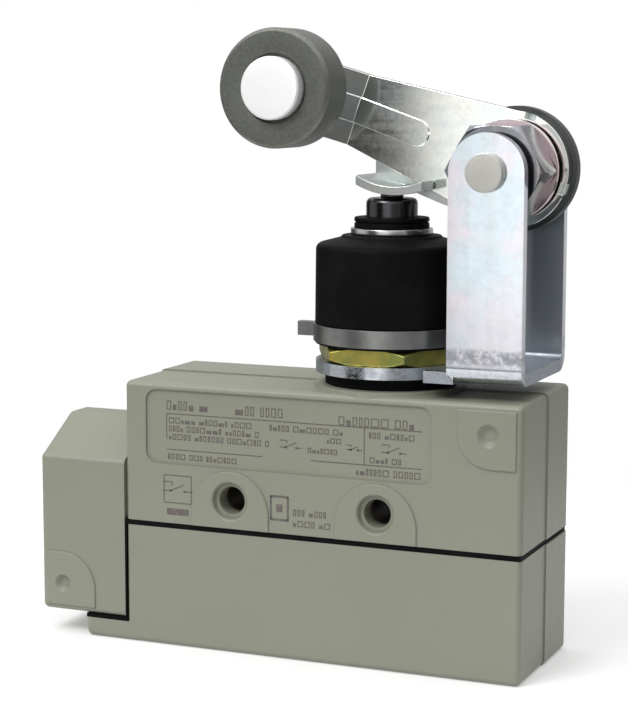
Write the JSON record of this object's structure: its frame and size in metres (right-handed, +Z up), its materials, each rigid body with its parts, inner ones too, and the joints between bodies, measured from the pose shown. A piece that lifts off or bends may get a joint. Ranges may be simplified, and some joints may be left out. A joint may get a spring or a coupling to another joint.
{
  "type": "limit switch",
  "caption": "Enclosed limit switch with a roller arm lever on a swivelling bracket above a booted plunger, two mounting holes and a side conduit entry.",
  "frame": {"origin": "midway between the two mounting holes, on the plane of the rear mounting pads", "axes": "+Z up along the plunger, +X away from the conduit block, +Y along the mounting holes into the surface the switch is fixed to"},
  "size_m": [0.0883, 0.0263, 0.1016],
  "materials": {
    "case_paint": "satin olive-beige paint on a die casting",
    "seal_rubber": "matt black rubber",
    "boot_rubber": "smooth black rubber",
    "zinc_screw": "zinc-plated steel",
    "zinc_sheet": "zinc-plated sheet with a bluish chromate",
    "yellow_nut": "yellow chromate on steel",
    "band_steel": "plain steel strip",
    "bushing_steel": "machined steel",
    "plunger_steel": "hardened and polished steel",
    "black_steel": "black oxide",
    "spring_steel": "spring wire",
    "phenolic": "black phenolic moulding",
    "contact_brass": "brass strip with silver contacts",
    "pin_steel": "turned steel, warm grey end",
    "bright_rivet": "bright turned rivet",
    "sintered_steel": "oil-filled sintered steel"
  },
  "bodies": {
    "case": {"case": "case_paint", "cover": "case_paint", "cover_gasket": "seal_rubber", "cover_screws": "zinc_screw", "earth_washer": "zinc_screw", "earth_screw": "zinc_screw", "switch_housing": "phenolic", "switch_cover": "phenolic", "closed_terminal": "contact_brass", "open_terminal": "contact_brass", "common_terminal": "contact_brass", "terminal_washers": "zinc_screw", "terminal_screws": "zinc_screw", "guide_bushing": "bushing_steel", "neck_seal": "seal_rubber", "lock_nut": "yellow_nut", "boot": "boot_rubber", "clamp_band": "band_steel", "spring_seat": "bushing_steel", "return_spring": "spring_steel"},
    "plunger": {"plunger": "plunger_steel", "plunger_tip": "black_steel", "boot_ring": "band_steel", "overtravel_spring": "spring_steel"},
    "pusher": {"inner_pusher": "plunger_steel", "switch_pin": "phenolic"},
    "snap_blade": {"snap_blade": "contact_brass"},
    "bracket": {"bracket": "zinc_sheet", "pivot_pin": "pin_steel"},
    "lever": {"lever_hub": "zinc_screw", "pivot_nut": "zinc_screw", "pivot_washer": "zinc_screw", "lock_washer": "black_steel", "foot_lever": "zinc_sheet"},
    "roller_lever": {"roller_lever": "zinc_sheet", "roller_pin": "bright_rivet"},
    "roller": {"roller": "sintered_steel"}
  },
  "joints": [
    {"name": "neck_swivel", "type": "hinge", "parent": "case", "child": "bracket", "pos_m": [0.0104, -0.0128, 0.0223], "axis": [0, 0, 1], "continuous": true},
    {"name": "lever_pivot", "type": "hinge", "parent": "bracket", "child": "lever", "pos_m": [0.03005, -0.0128, 0.05406], "axis": [0, -1, 0], "range_deg": [0, 13], "stiffness_Nm_per_rad": 0.6, "springref_deg": -8.59},
    {"name": "arm_setting", "type": "hinge", "parent": "lever", "child": "roller_lever", "pos_m": [0.03005, -0.0107, 0.05406], "axis": [0, 1, 0], "range_deg": [0, 60]},
    {"name": "roller_spin", "type": "hinge", "parent": "roller_lever", "child": "roller", "pos_m": [-0.00591, -0.0192, 0.06665], "axis": [0, 1, 0], "continuous": true},
    {"name": "plunger_slide", "type": "slide", "parent": "case", "child": "plunger", "axis": [0, 0, -1], "range_m": [0, 0.00432], "deforming": ["boot", "return_spring", "overtravel_spring"]},
    {"name": "pusher_slide", "type": "slide", "parent": "case", "child": "pusher", "axis": [0, 0, -1], "range_m": [0, 0.00051]},
    {"name": "blade_tilt", "type": "hinge", "parent": "case", "child": "snap_blade", "pos_m": [0.0186, -0.0128, 0.0084], "axis": [0, -1, 0], "range_deg": [0, 0.85]}
  ],
  "couplings": [
    {"joint": "plunger_slide", "follows": "lever_pivot", "m_per_rad": 0.018996},
    {"joint": "pusher_slide", "follows": "lever_pivot", "m_per_rad": 0.0022037},
    {"joint": "blade_tilt", "follows": "lever_pivot", "ratio": 0.064615}
  ]
}
